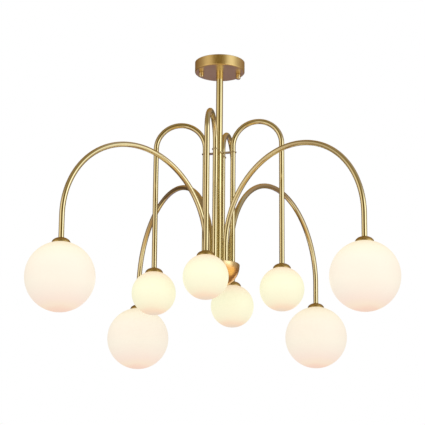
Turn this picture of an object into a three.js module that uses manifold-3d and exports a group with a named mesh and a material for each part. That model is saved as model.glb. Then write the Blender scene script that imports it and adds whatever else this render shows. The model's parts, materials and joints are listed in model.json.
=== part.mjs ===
// A ceiling chandelier. A downrod hangs from a strap inside a shallow canopy and carries a round hub.
// Eight cane-shaped tubes stand on the hub in one circle: four wide arms with large opal globes,
// and four narrow ones, tied together by a thin cross-shaped spacer, with small opal globes.
// Units are millimetres, +Z is up, and the origin is on the ceiling above the middle of the rod.

import * as THREE from 'three';
import { mergeVertices } from 'three/addons/utils/BufferGeometryUtils.js';
import Module from 'manifold-3d';

const wasm = await Module();
wasm.setup();

// Driving dimensions.
const GAP = 0.3; // between two pieces that touch
const THROUGH = 1; // how far a drill runs past what it cuts
const SMALL_SIDES = 8; // sides of small round bars and holes

const CANOPY = { radius: 58, height: 25, wall: 1.2, bend: 2.5, bendSteps: 3, sides: 32 };
const STRAP = { length: 100, width: 20, thickness: 2, azimuth: 8 };
const BOSS = { radius: 11, depth: 12, wireHole: 2 };
const STUD = { radius: 2, spread: 43.5, length: 33 };
const CEILING_SCREW = { radius: 2.5, spread: 36 };
const CANOPY_NUT = { radius: 5.7, height: 13.2, bend: 3.2, bendSteps: 3, sides: 12 };
const TERMINAL_BLOCK = { length: 18, width: 15, height: 11, centre: -21, hole: 1.5, pitch: 5, floor: 3.5 };

const ROD = { radius: 8, bore: 6.5, top: -7, sides: 14 };
const LOCKNUT = { radius: 13, height: 6 };

const HUB = { top: -487, feetRadius: 33, plate: 3, rodTail: 12 };
const CUP = { radius: 48.5, wall: 1.2, straight: 2, hole: 6.6, steps: 6, sides: 20 };
const FINIAL = { shank: 5.9, head: 9, headHeight: 7, chamfer: 0.5, tip: 5.4, tipRise: 1, grip: 7 };
const SPACER = { z: -222, thickness: 2, lobe: 8, centre: 13, bar: 12, cornerSteps: 4 };

const TUBE = { radius: 6, bore: 5.2, sides: 10, boreSides: 6 };
const FOOT_SCREW = { radius: 4.2, bore: 2.5, grip: 14, head: 8.5, headHeight: 4.5 };
const CROSS_AZIMUTH = -15; // the right-hand narrow arm's foot, in degrees from +X

const CAP = { radius: 20.3, height: 12.4, wall: 1.2, domeSteps: 4, skirt: 12.2, skirtWall: 1.3, sides: 12 };
const NECK = { radius: 11.5, bore: 9.5, rise: 5 }; // rise is over the cap's rim
const HOLDER = { radius: 8.3, length: 24, grip: 9, sides: 10 };
const BULB = { radius: 7, length: 38, base: 4.9, shoulder: 4, endSteps: 3 };

// reach runs from the inner leg to the outer one, and spring is the height where the bend begins.
const LARGE_GLOBE = { z: -581, radius: 75, glass: 2.5, sides: 18, rings: 8 };
const SMALL_GLOBE = { z: -550, radius: 50, glass: 2, sides: 16, rings: 6 };
const WIDE = { reach: 392, spring: -447, bends: 16, globe: LARGE_GLOBE };
const NARROW = { reach: 114, spring: -208, bends: 8, globe: SMALL_GLOBE };

// Each arm's foot is numbered round the hub in steps of 45 degrees from the right-hand narrow arm.
// turned is how far the arm has been swung from straight out, in degrees.
const ARMS = [
  { name: 'wide_back_right', kind: WIDE, step: 1, turned: 27.3 },
  { name: 'wide_back_left', kind: WIDE, step: 3, turned: -2.7 },
  { name: 'wide_front_left', kind: WIDE, step: 5, turned: 9.1 },
  { name: 'wide_front_right', kind: WIDE, step: 7, turned: 17.7 },
  { name: 'narrow_right', kind: NARROW, step: 0, turned: 1.8 },
  { name: 'narrow_back', kind: NARROW, step: 2, turned: 2.4 },
  { name: 'narrow_left', kind: NARROW, step: 4, turned: 11 },
  { name: 'narrow_front', kind: NARROW, step: 6, turned: 5.6 },
];

const radians = THREE.MathUtils.degToRad;

const BRASS = { color: '#c39b52', roughness: 0.32, metalness: 1 };
const STEEL = { color: '#b9b6ae', roughness: 0.4, metalness: 1 };
const CERAMIC = { color: '#e9e4da', roughness: 0.5, metalness: 0 };
const NYLON = { color: '#dcd8cd', roughness: 0.6, metalness: 0 };
const OPAL_GLASS = { color: '#fdf3e2', roughness: 0.15, metalness: 0 };
const LAMP_GLASS = { color: '#fff2d2', roughness: 0.1, metalness: 0 };

// A named mesh with its own finish.
function piece(name, geometry, finish) {
  const mesh = new THREE.Mesh(geometry, new THREE.MeshStandardMaterial(finish));
  mesh.name = name;
  return mesh;
}

// The corner radius of a polygon whose flats clear a round piece by GAP.
function clearing(radius, sides) {
  return (radius + GAP) / Math.cos(Math.PI / sides);
}

// A solid turned round Z. The profile is [radius, z] points, upwards along the outside.
function turned(profile, sides) {
  const points = profile.map(([radius, z]) => new THREE.Vector2(radius, z));
  return new THREE.LatheGeometry(points, sides).rotateX(Math.PI / 2);
}

// A closed ring profile between two radii and two heights.
function ringProfile(inner, outer, low, high) {
  return [[inner, low], [outer, low], [outer, high], [inner, high], [inner, low]];
}

// Points on a circle in the [radius, z] plane, from one angle above the horizontal to another.
function arcProfile(centreRadius, centreZ, radius, from, to, steps) {
  const points = [];
  for (let step = 0; step <= steps; step += 1) {
    const angle = from + ((to - from) * step) / steps;
    points.push([centreRadius + radius * Math.cos(angle), centreZ + radius * Math.sin(angle)]);
  }
  return points;
}

// Points up one side of a dome, which is half an ellipsoid on its rim, from one radius in to another.
function domeProfile(radius, height, rim, outer, inner, steps) {
  const from = Math.acos(outer / radius);
  const to = Math.acos(inner / radius);
  const points = [];
  for (let step = 0; step <= steps; step += 1) {
    const angle = from + ((to - from) * step) / steps;
    points.push([radius * Math.cos(angle), rim + height * Math.sin(angle)]);
  }
  return points;
}

// A round bar along Z, from low to high.
function bar(radius, low, high, sides) {
  return new THREE.CylinderGeometry(radius, radius, high - low, sides)
    .rotateX(Math.PI / 2)
    .translate(0, 0, (low + high) / 2);
}

// A geometry as a manifold solid, with its shared vertices merged and its empty triangles left out.
function solid(geometry) {
  const bare = geometry.clone();
  bare.deleteAttribute('normal');
  bare.deleteAttribute('uv');
  const merged = mergeVertices(bare, 1e-4);
  const corners = [];
  for (let first = 0; first < merged.index.count; first += 3) {
    const triangle = [0, 1, 2].map((corner) => merged.index.getX(first + corner));
    if (new Set(triangle).size === 3) {
      corners.push(...triangle);
    }
  }
  const vertProperties = Float32Array.from(merged.attributes.position.array);
  const triVerts = Uint32Array.from(corners);
  return new wasm.Manifold(new wasm.Mesh({ numProp: 3, vertProperties, triVerts }));
}

// A manifold solid as a three.js geometry again.
function shape(body) {
  const { vertProperties, triVerts } = body.getMesh();
  const geometry = new THREE.BufferGeometry();
  geometry.setAttribute('position', new THREE.BufferAttribute(Float32Array.from(vertProperties), 3));
  geometry.setIndex(new THREE.BufferAttribute(Uint32Array.from(triVerts), 1));
  return geometry;
}

function joined(first, ...others) {
  return shape(others.reduce((whole, other) => whole.add(solid(other)), solid(first)));
}

function cut(blank, ...cutters) {
  return shape(cutters.reduce((whole, cutter) => whole.subtract(solid(cutter)), solid(blank)));
}

// A six-sided nut whose hole clears a round bar.
function hexNut(radius, barRadius, barSides, low, high) {
  const hole = bar(clearing(barRadius, barSides), low - THROUGH, high + THROUGH, barSides);
  return cut(bar(radius, low, high, 6), hole);
}

// The strap that is screwed to the ceiling, with a boss for the rod and two long studs for the canopy.
function ceilingBracket() {
  const { length, width, thickness } = STRAP;
  const floor = -thickness - BOSS.depth;
  const strap = new THREE.BoxGeometry(length, width, thickness).translate(0, 0, -thickness / 2);
  const studs = [-1, 1].map((side) =>
    bar(STUD.radius, -STUD.length, -thickness / 2, SMALL_SIDES).translate(side * STUD.spread, 0, 0));
  const boss = bar(BOSS.radius, floor, -thickness / 2, ROD.sides);
  const socket = bar(clearing(ROD.radius, ROD.sides), floor - THROUGH, -thickness, ROD.sides);
  const { radius, spread } = CEILING_SCREW;
  const screwHoles = [-1, 1].map((side) =>
    bar(radius, -thickness - THROUGH, THROUGH, SMALL_SIDES).translate(side * spread, 0, 0));
  const wireHole = new THREE.CylinderGeometry(BOSS.wireHole, BOSS.wireHole, BOSS.radius * 2, SMALL_SIDES)
    .translate(0, BOSS.radius, (ROD.top - thickness) / 2);
  return cut(joined(strap, boss, ...studs), socket, wireHole, ...screwHoles);
}

// A spun pan, open towards the ceiling, with holes for the rod and the studs in its floor.
function canopy() {
  const { radius, height, wall, bend, bendSteps, sides } = CANOPY;
  const hole = clearing(ROD.radius, ROD.sides);
  const outside = arcProfile(radius - bend, bend - height, bend, -Math.PI / 2, 0, bendSteps);
  const inside = arcProfile(radius - bend, bend - height, bend - wall, 0, -Math.PI / 2, bendSteps - 1);
  const pan = turned([[hole, -height], ...outside, [radius, 0], [radius - wall, 0], ...inside,
    [hole, wall - height], [hole, -height]], sides);
  const studHoles = [-1, 1].map((side) => {
    const angle = radians(STRAP.azimuth);
    return bar(clearing(STUD.radius, SMALL_SIDES), -height - THROUGH, wall - height + THROUGH, SMALL_SIDES)
      .translate(side * STUD.spread * Math.cos(angle), side * STUD.spread * Math.sin(angle), 0);
  });
  return cut(pan, ...studHoles);
}

// A round cap nut with a rounded end and a blind hole, screwed up a stud against the canopy's floor.
function canopyNut() {
  const { radius, height, bend, bendSteps, sides } = CANOPY_NUT;
  const top = -CANOPY.height - GAP;
  const bottom = top - height;
  const corner = arcProfile(radius - bend, bottom + bend, bend, -Math.PI / 2, 0, bendSteps);
  const hole = clearing(STUD.radius, SMALL_SIDES);
  const blind = -STUD.length - GAP;
  return turned([[0, bottom], ...corner, [radius, top], [hole, top], [hole, blind], [0, blind]], sides);
}

// A block of three screw terminals under the strap, open downwards for the wires.
function terminalBlock() {
  const { length, width, height, centre, hole, pitch, floor } = TERMINAL_BLOCK;
  const top = -STRAP.thickness - GAP;
  const block = new THREE.BoxGeometry(length, width, height).translate(centre, 0, top - height / 2);
  const holes = [-1, 0, 1].map((place) =>
    bar(hole, top - height - THROUGH, top - floor, SMALL_SIDES).translate(centre, place * pitch, 0));
  return cut(block, ...holes);
}

// A tube from the bracket's boss down through the hub plate.
function downrod() {
  const bottom = HUB.top - HUB.plate - HUB.rodTail;
  return turned(ringProfile(ROD.bore, ROD.radius, bottom, ROD.top), ROD.sides);
}

// A round outline as corners on a circle.
function roundOutline(x, y, radius, sides, Outline) {
  const corners = [];
  for (let side = 0; side < sides; side += 1) {
    const angle = (side * 2 * Math.PI) / sides;
    corners.push(new THREE.Vector2(x + radius * Math.cos(angle), y + radius * Math.sin(angle)));
  }
  return new Outline(corners);
}

// A flat cross with a round lobe at each narrow arm's inner leg and a larger one at the rod.
function spacerPlate() {
  const { lobe, centre, bar: width, thickness, z, cornerSteps } = SPACER;
  const outline = new THREE.Shape();
  const reach = Math.PI - Math.asin(width / 2 / lobe);
  const shoulder = Math.asin(width / 2 / centre);
  const holes = [roundOutline(0, 0, clearing(ROD.radius, ROD.sides), ROD.sides, THREE.Path)];
  for (let quarter = 0; quarter < 4; quarter += 1) {
    const angle = (quarter * Math.PI) / 2;
    const x = HUB.feetRadius * Math.cos(angle);
    const y = HUB.feetRadius * Math.sin(angle);
    outline.absarc(x, y, lobe, angle - reach, angle + reach, false);
    outline.absarc(0, 0, centre, angle + shoulder, angle + Math.PI / 2 - shoulder, false);
    holes.push(roundOutline(x, y, clearing(TUBE.radius, TUBE.sides), TUBE.sides, THREE.Path));
  }
  outline.holes = holes;
  const extrusion = { depth: thickness, bevelEnabled: false, curveSegments: cornerSteps };
  return new THREE.ExtrudeGeometry(outline, extrusion).translate(0, 0, z - thickness / 2);
}

// The round plate that closes the hub cup. The arms stand on it, and the rod runs through it.
function hubPlate() {
  const low = HUB.top - HUB.plate;
  const blank = bar((CUP.radius - CUP.wall) * Math.cos(Math.PI / CUP.sides) - GAP, low, HUB.top, CUP.sides);
  const rodHole = bar(clearing(ROD.radius, ROD.sides), low - THROUGH, HUB.top + THROUGH, ROD.sides);
  const footHoles = ARMS.map((arm) => {
    const angle = radians(45 * arm.step);
    return bar(clearing(FOOT_SCREW.radius, SMALL_SIDES), low - THROUGH, HUB.top + THROUGH, SMALL_SIDES)
      .translate(HUB.feetRadius * Math.cos(angle), HUB.feetRadius * Math.sin(angle), 0);
  });
  return cut(blank, rodHole, ...footHoles);
}

// A spun half-ball cup, open at the top and with a hole for the finial at the bottom.
function hubCup() {
  const { radius, wall, straight, hole, steps, sides } = CUP;
  const centre = HUB.top - straight;
  const outside = arcProfile(0, centre, radius, -Math.acos(hole / radius), 0, steps);
  const inside = arcProfile(0, centre, radius - wall, 0, -Math.acos(hole / (radius - wall)), steps - 1);
  return turned([...outside, [radius, HUB.top], [radius - wall, HUB.top], ...inside, outside[0]], sides);
}

// A turned finial: its shank screws into the rod's end, and its head holds the cup up.
function hubFinial() {
  const { shank, head, headHeight, chamfer, tip, tipRise, grip } = FINIAL;
  const seat = HUB.top - CUP.straight - CUP.radius - GAP;
  const bottom = seat - headHeight;
  const top = HUB.top - HUB.plate - HUB.rodTail + grip;
  return turned([[0, bottom], [tip, bottom + tipRise], [head, (seat + bottom) / 2], [head, seat - chamfer],
    [head - chamfer, seat], [shank, seat], [shank, top], [0, top]], ROD.sides);
}

// The centre line of an arm in its own XZ plane: up the inner leg, over half a circle, down the outer leg.
// One step covers each straight leg, so the steps are not equally long.
class ArmLine extends THREE.Curve {
  constructor(kind) {
    super();
    this.kind = kind;
    this.steps = kind.bends + 2;
  }

  getPoint(share, target = new THREE.Vector3()) {
    const { reach, spring, bends } = this.kind;
    const step = share * this.steps;
    if (step < 1) {
      return target.set(0, 0, THREE.MathUtils.lerp(HUB.top + GAP, spring, step));
    }
    if (step > this.steps - 1) {
      return target.set(reach, 0, THREE.MathUtils.lerp(spring, armEnd(this.kind), step - this.steps + 1));
    }
    const angle = Math.PI * (1 - (step - 1) / bends);
    return target.set((reach / 2) * (1 + Math.cos(angle)), 0, spring + (reach / 2) * Math.sin(angle));
  }

  getPointAt(share, target) {
    return this.getPoint(share, target);
  }

  getTangentAt(share, target = new THREE.Vector3()) {
    const step = THREE.MathUtils.clamp(share * this.steps - 1, 0, this.kind.bends);
    const angle = (Math.PI * step) / this.kind.bends;
    return target.set(Math.sin(angle), 0, Math.cos(angle));
  }
}

function armTube(kind) {
  const section = roundOutline(0, 0, TUBE.radius, TUBE.sides, THREE.Shape);
  section.holes.push(roundOutline(0, 0, TUBE.bore, TUBE.boreSides, THREE.Path));
  const line = new ArmLine(kind);
  return new THREE.ExtrudeGeometry(section, { steps: line.steps, extrudePath: line, bevelEnabled: false });
}

// A hollow hexagon-headed screw from below the hub plate up into an arm's inner leg.
function footScrew() {
  const { radius, bore, grip, head, headHeight } = FOOT_SCREW;
  const under = HUB.top - HUB.plate - GAP;
  return turned([[bore, under - headHeight], [head, under - headHeight], [head, under], [radius, under],
    [radius, HUB.top + grip], [bore, HUB.top + grip], [bore, under - headHeight]], 6);
}

// How high a ball's surface stands over its centre at a distance from its axis.
function rise(radius, offset) {
  return Math.sqrt(radius ** 2 - offset ** 2);
}

// The height of a cap's rim, which just clears the globe below it.
function capRim(kind) {
  return kind.globe.z + rise(kind.globe.radius, CAP.radius - CAP.wall) + GAP;
}

// How high a cap's dome stands over its rim at a distance from its axis, outside or inside the sheet.
function capRise(offset, wall = 0) {
  return (CAP.height - wall) * Math.sqrt(1 - (offset / (CAP.radius - wall)) ** 2);
}

function armEnd(kind) {
  return capRim(kind) + capRise(TUBE.bore) + GAP;
}

// A spun dome over the globe's neck, with a short threaded skirt inside that holds the neck.
function globeCap(kind) {
  const { radius, height, wall, domeSteps, skirt, skirtWall, sides } = CAP;
  const rim = capRim(kind);
  const hole = clearing(FOOT_SCREW.radius, sides);
  const outside = domeProfile(radius, height, rim, radius, hole, domeSteps);
  const skirtLow = kind.globe.z + rise(kind.globe.radius, skirt) + GAP;
  const skirtOut = skirt + skirtWall;
  const inside = domeProfile(radius - wall, height - wall, rim, skirtOut, radius - wall, domeSteps / 2);
  return turned([...outside, [hole, rim + capRise(hole, wall)], [skirt, rim + capRise(skirt, wall)],
    [skirt, skirtLow], [skirtOut, skirtLow], ...inside, outside[0]], sides);
}

// The height of a lampholder's shoulder, level with the inside of the dome over its skirt.
function holderShoulder(kind) {
  return capRim(kind) + capRise(CAP.skirt, CAP.wall);
}

// A ceramic lampholder. Its threaded shank runs up through the cap into the arm.
function lampholder(kind) {
  const shoulder = holderShoulder(kind);
  const bottom = shoulder - HOLDER.length;
  const top = armEnd(kind) + HOLDER.grip;
  const { radius, sides } = HOLDER;
  return turned([[0, bottom], [radius, bottom], [radius, shoulder], [FOOT_SCREW.radius, shoulder],
    [FOOT_SCREW.radius, top], [0, top]], sides);
}

// A capsule lamp under its lampholder.
function bulb(kind) {
  const top = holderShoulder(kind) - HOLDER.length - GAP;
  const bottom = top - BULB.length;
  const { radius, base, shoulder, endSteps } = BULB;
  const end = arcProfile(0, bottom + radius, radius, -Math.PI / 2, 0, endSteps);
  return turned([...end, [radius, top - shoulder], [base, top], [0, top]], SMALL_SIDES);
}

// A blown opal ball with a short open neck at its top.
function globe(kind) {
  const { z, radius, glass, sides, rings } = kind.globe;
  const neckTop = capRim(kind) + NECK.rise;
  const outside = arcProfile(0, z, radius, -Math.PI / 2, Math.acos(NECK.radius / radius), rings);
  const inner = radius - glass;
  const inside = arcProfile(0, z, inner, Math.acos(NECK.bore / inner), -Math.PI / 2, rings - 1);
  return turned([...outside, [NECK.radius, neckTop], [NECK.bore, neckTop], ...inside], sides);
}

// One arm on its foot, swung to its own direction, with everything that hangs from it.
function armAssembly({ name, kind, step, turned: turnedBy }) {
  const arm = new THREE.Group();
  const foot = radians(CROSS_AZIMUTH + 45 * step);
  arm.position.set(HUB.feetRadius * Math.cos(foot), HUB.feetRadius * Math.sin(foot), 0);
  arm.rotation.z = foot + radians(turnedBy);
  arm.add(piece(`arm_${name}`, armTube(kind), BRASS));
  arm.add(piece(`foot_screw_${name}`, footScrew(), STEEL));

  const light = new THREE.Group();
  light.position.x = kind.reach;
  light.add(piece(`cap_${name}`, globeCap(kind), BRASS));
  light.add(piece(`lampholder_${name}`, lampholder(kind), CERAMIC));
  light.add(piece(`bulb_${name}`, bulb(kind), LAMP_GLASS));
  light.add(piece(`globe_${name}`, globe(kind), OPAL_GLASS));
  arm.add(light);
  return arm;
}

const group = new THREE.Group();

const bracket = new THREE.Group();
bracket.rotation.z = radians(STRAP.azimuth);
bracket.add(piece('ceiling_bracket', ceilingBracket(), STEEL));
bracket.add(piece('terminal_block', terminalBlock(), NYLON));
['left', 'right'].forEach((side, index) => {
  const nut = piece(`canopy_nut_${side}`, canopyNut(), BRASS);
  nut.position.x = (2 * index - 1) * STUD.spread;
  bracket.add(nut);
});
group.add(bracket);

group.add(piece('canopy', canopy(), BRASS));
group.add(piece('downrod', downrod(), BRASS));
const bossFloor = -STRAP.thickness - BOSS.depth - GAP;
const plateFloor = HUB.top - HUB.plate - GAP;
for (const [name, top] of [['rod_locknut', bossFloor], ['hub_locknut', plateFloor]]) {
  group.add(piece(name, hexNut(LOCKNUT.radius, ROD.radius, ROD.sides, top - LOCKNUT.height, top), STEEL));
}

const cross = new THREE.Group();
cross.rotation.z = radians(CROSS_AZIMUTH);
cross.add(piece('spacer_plate', spacerPlate(), BRASS));
cross.add(piece('hub_plate', hubPlate(), BRASS));
group.add(cross);
group.add(piece('hub_cup', hubCup(), BRASS));
group.add(piece('hub_finial', hubFinial(), BRASS));

for (const arm of ARMS) {
  group.add(armAssembly(arm));
}

export default group;
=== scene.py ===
"""Looks for a ceiling chandelier: a satin brass downrod, a hub with eight cane-shaped arms, and lit opal globes."""

import json
import math

import bmesh
import bpy
import numpy as np
from mathutils import Matrix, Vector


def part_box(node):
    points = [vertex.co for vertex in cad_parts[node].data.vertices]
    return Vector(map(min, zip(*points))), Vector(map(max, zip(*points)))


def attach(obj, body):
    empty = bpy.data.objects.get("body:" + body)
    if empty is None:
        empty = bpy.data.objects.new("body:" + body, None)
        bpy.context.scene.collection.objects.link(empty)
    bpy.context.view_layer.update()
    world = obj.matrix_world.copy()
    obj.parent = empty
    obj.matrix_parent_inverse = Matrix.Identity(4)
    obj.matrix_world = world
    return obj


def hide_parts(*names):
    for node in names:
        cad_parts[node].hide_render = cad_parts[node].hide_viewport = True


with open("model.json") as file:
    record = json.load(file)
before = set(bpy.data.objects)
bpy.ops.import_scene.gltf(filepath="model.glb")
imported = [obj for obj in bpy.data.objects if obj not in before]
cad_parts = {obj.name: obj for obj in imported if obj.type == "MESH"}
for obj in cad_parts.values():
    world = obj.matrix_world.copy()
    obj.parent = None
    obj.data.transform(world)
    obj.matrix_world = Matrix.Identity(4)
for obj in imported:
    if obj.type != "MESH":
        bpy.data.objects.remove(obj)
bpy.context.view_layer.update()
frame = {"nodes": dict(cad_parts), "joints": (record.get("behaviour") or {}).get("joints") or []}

# Ceiling bracket. A pressed strap of zinc-plated steel, screwed to the ceiling through two round holes.
# A turned boss riveted under its middle takes the downrod, and two long threaded studs take the canopy.

mm = 0.001
strap_length, strap_width, strap_thickness = 100 * mm, 20 * mm, 2 * mm
strap_corner, strap_edge = 3 * mm, 0.3 * mm
screw_hole_radius, screw_hole_place, wire_hole_radius = 2.5 * mm, 36 * mm, 5 * mm
boss_radius, boss_bore, boss_depth, boss_edge = 11 * mm, 8.1 * mm, 12 * mm, 0.6 * mm
stud_radius, stud_pitch, thread_depth = 1.9 * mm, 0.7 * mm, 0.35 * mm
stud_stations, stud_sides = 400, 24


def heights(node):
    """The lowest and the highest point of a solid at rest."""
    return np.array(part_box(node))[:, 2]


def half_width(node):
    """Half of a solid's width along X: the radius of a turned one."""
    low, high = np.array(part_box(node))[:, 0]
    return (high - low) / 2


def middle(node):
    """The middle of a solid at rest, as seen from above."""
    return np.mean(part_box(node), axis=0)[:2]


def linear(colour):
    """An sRGB hex colour as linear RGBA: each channel is raised by the sRGB curve."""
    channels = [int(colour[place:place + 2], 16) / 255 for place in (1, 3, 5)]
    return [c / 12.92 if c <= 0.04045 else ((c + 0.055) / 1.055) ** 2.4 for c in channels] + [1.0]


def add_node(tree, kind, inputs=None, **settings):
    """Adds one shader node. Each input is a value, or another node's output to link from."""
    made = tree.nodes.new(kind)
    for name, value in settings.items():
        setattr(made, name, value)
    for socket, value in (inputs or {}).items():
        if isinstance(value, bpy.types.NodeSocket):
            tree.links.new(value, made.inputs[socket])
        else:
            made.inputs[socket].default_value = value
    return made


def new_material(name):
    """An empty node material with its output node: (material, tree, surface socket)."""
    material = bpy.data.materials.new(name)
    material.use_nodes = True
    material.node_tree.nodes.clear()
    output = add_node(material.node_tree, "ShaderNodeOutputMaterial")
    return material, material.node_tree, output.inputs["Surface"]


def zinc_plated_steel():
    """Bright zinc over cold-rolled steel: a cool grey metal, cloudy where the bath crystallised, with rolling marks."""
    material, tree, surface = new_material("zinc_plated_steel")
    place = add_node(tree, "ShaderNodeTexCoord").outputs["Object"]
    cloud = add_node(tree, "ShaderNodeTexNoise", {"Vector": place, "Scale": 1 / (6 * mm), "Detail": 3.0})
    grain = add_node(tree, "ShaderNodeTexNoise", {"Vector": place, "Scale": 1 / (0.6 * mm), "Detail": 2.0})
    tone = add_node(tree, "ShaderNodeMix", {"Factor": cloud.outputs[0], 6: linear("#a9a8a4"), 7: linear("#cfcdc6")},
                    data_type="RGBA")
    gloss = add_node(tree, "ShaderNodeMapRange", {0: grain.outputs[0], 3: 0.3, 4: 0.48})
    ripple = add_node(tree, "ShaderNodeBump", {"Height": grain.outputs[0], "Distance": 0.02 * mm, "Strength": 0.6})
    steel = add_node(tree, "ShaderNodeBsdfPrincipled", {
        "Base Color": tone.outputs[2], "Metallic": 1.0, "Roughness": gloss.outputs[0], "Normal": ripple.outputs[0]})
    tree.links.new(steel.outputs[0], surface)
    return material


def shell(points, around, along, closed_profile=False):
    """A surface from a grid of points, rows carried along a profile or path and columns round it.
    Returns its vertices, its outward quads, and each quad corner's (along, around) distance in metres."""
    rows, columns = points.shape[:2]
    row = np.arange(rows if closed_profile else rows - 1)[:, None]
    column = np.arange(columns)[None, :]
    corners = ((row, column), (row, column + 1), (row + 1, column + 1), (row + 1, column))
    quads = np.stack([(r % rows) * columns + c % columns for r, c in corners], axis=-1).reshape(-1, 4)
    run, girth = np.append(along, along[-1] + 1 * mm), np.append(around, 2 * around[-1] - around[-2])
    flat = np.stack([np.stack(np.broadcast_arrays(run[r], girth[c]), axis=-1) for r, c in corners], axis=-2)
    return points.reshape(-1, 3), quads, flat.reshape(-1, 4, 2)


def turned_shell(profile, centre=(0, 0), sides=96, closed=True, swell=None):
    """A surface of revolution: profile rows are (radius, height), upwards along the outside.
    swell, if given, maps (angle, radius, height) arrays to a new radius, for threads and hexagons."""
    angle = np.arange(sides) * 2 * math.pi / sides
    radius, height = (np.asarray(profile)[:, k][:, None] + 0 * angle for k in (0, 1))
    radius = swell(angle[None, :], radius, height) if swell else radius
    points = np.stack([centre[0] + radius * np.cos(angle), centre[1] + radius * np.sin(angle), height], axis=-1)
    along = np.append(0, np.cumsum(np.linalg.norm(np.diff(profile, axis=0), axis=1)))
    return shell(points, angle * np.max(radius), along, closed)


def eased(corners, ease):
    """A closed profile with its corners rounded: each becomes a parabola that starts and ends `ease` away from it.
    One more point on each side holds the flat beside it, so that its shading stays flat."""
    corners = np.asarray(corners, float)
    longest_share = 0.22  # of a side
    ends = []
    for step in (1, -1):
        side = np.roll(corners, step, axis=0) - corners
        length = np.linalg.norm(side, axis=1)[:, None]
        ends.append(side * np.minimum(ease / length, longest_share))
    share = np.linspace(0, 1, 5)[None, :, None]
    curve = corners[:, None] + (1 - share) ** 2 * ends[0][:, None] + share ** 2 * ends[1][:, None]
    held = [(corners + 2 * end)[:, None] for end in ends]
    return np.concatenate([held[0], curve, held[1]], axis=1).reshape(-1, 2)


def placed(name, mesh, material, body, stands_for, turn_outwards=False):
    """One object from a mesh: vertices that meet are merged, and edges sharper than 35 degrees stay crisp."""
    work = bmesh.new()
    work.from_mesh(mesh)
    bmesh.ops.remove_doubles(work, verts=work.verts, dist=0.001 * mm)
    if turn_outwards:
        bmesh.ops.recalc_face_normals(work, faces=work.faces)
    work.to_mesh(mesh)
    work.free()
    mesh.shade_smooth()
    mesh.set_sharp_from_angle(angle=math.radians(35))
    mesh.materials.append(material)
    made = bpy.data.objects.new(name, mesh)
    bpy.context.scene.collection.objects.link(made)
    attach(made, body)
    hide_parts(*stands_for)


def finished_piece(name, material, body, slot, stands_for, *shells):
    """A piece from one or more shells, which keep their (along, around) distances as its own UV map."""
    starts = np.cumsum([0] + [len(part[0]) for part in shells])
    mesh = bpy.data.meshes.new(name)
    mesh.from_pydata(np.concatenate([part[0] for part in shells]).tolist(), [],
                     np.concatenate([part[1] + start for part, start in zip(shells, starts)]).tolist())
    flat = mesh.uv_layers.new(name="surface")
    flat.data.foreach_set("uv", np.concatenate([part[2] for part in shells]).astype(np.float32).ravel())
    placed(name, mesh, material, body, stands_for)


def flat_plate(name, material, body, stands_for, outlines, low, high, edge):
    """A flat plate cut to the first outline with the others as holes, its edges broken by `edge`."""
    drawing = bpy.data.curves.new(name, "CURVE")
    drawing.dimensions, drawing.fill_mode = "2D", "BOTH"
    drawing.extrude, drawing.bevel_depth, drawing.bevel_resolution = (high - low) / 2 - edge, edge, 1
    drawing.offset = -edge
    for outline in outlines:
        line = drawing.splines.new("POLY")
        line.points.add(len(outline) - 1)
        line.points.foreach_set("co", np.column_stack([outline, 0 * outline[:, 0], 0 * outline[:, 0] + 1]).ravel())
        line.use_cyclic_u = True
    drawn = bpy.data.objects.new(name + "_drawing", drawing)
    bpy.context.scene.collection.objects.link(drawn)
    mesh = bpy.data.meshes.new_from_object(drawn.evaluated_get(bpy.context.evaluated_depsgraph_get()))
    bpy.data.objects.remove(drawn)
    places = np.empty(len(mesh.vertices) * 3)
    mesh.vertices.foreach_get("co", places)
    places[2::3] += (low + high) / 2
    mesh.vertices.foreach_set("co", places)
    mesh.materials.clear()
    placed(name, mesh, material, body, stands_for, turn_outwards=True)


def round_outline(place, radius, steps=32):
    """Corners on a circle."""
    angle = np.arange(steps) * 2 * math.pi / steps
    return np.asarray(place) + radius * np.column_stack([np.cos(angle), np.sin(angle)])


steel = zinc_plated_steel()
nut_places = {side: middle(f"canopy_nut_{side}") for side in ("left", "right")}
strap_along = nut_places["right"] - nut_places["left"]
strap_along = strap_along / np.linalg.norm(strap_along)
strap_across = np.array([-strap_along[1], strap_along[0]])

strap_outline = []
for quarter, (along_sign, across_sign) in enumerate(((1, 1), (-1, 1), (-1, -1), (1, -1))):
    turn = np.linspace(quarter, quarter + 1, 7)[:, None] * math.pi / 2
    along = along_sign * (strap_length / 2 - strap_corner) + strap_corner * np.cos(turn)
    across = across_sign * (strap_width / 2 - strap_corner) + strap_corner * np.sin(turn)
    strap_outline.append(along * strap_along + across * strap_across)
flat_plate("bracket_strap", steel, "suspension", ["ceiling_bracket"],
           [np.vstack(strap_outline), round_outline((0, 0), wire_hole_radius)]
           + [round_outline(side * screw_hole_place * strap_along, screw_hole_radius) for side in (-1, 1)],
           -strap_thickness, 0.0, strap_edge)

boss_floor = -strap_thickness - boss_depth
boss_profile = eased([(boss_bore, boss_floor), (boss_radius, boss_floor), (boss_radius, -strap_thickness),
                      (boss_bore, -strap_thickness)], boss_edge)
stud_end = heights("ceiling_bracket")[0]
stud_height = np.linspace(stud_end, -strap_thickness, stud_stations)
stud_profile = np.vstack([[0, stud_end], np.column_stack([stud_radius + 0 * stud_height, stud_height]),
                          [0, -strap_thickness]])


def threaded(angle, radius, height):
    """A screw thread: the radius rises and falls once per pitch, and its phase turns once per turn."""
    wave = np.abs(((height / stud_pitch - angle / (2 * math.pi)) % 1) * 2 - 1)
    return np.where(radius > 0, radius - thread_depth * wave, 0)


studs = [turned_shell(stud_profile, nut_places[side], stud_sides, closed=False, swell=threaded)
         for side in ("left", "right")]
finished_piece("bracket_boss_and_studs", steel, "suspension", "plated_steel", ["ceiling_bracket"],
               turned_shell(boss_profile), *studs)

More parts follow.
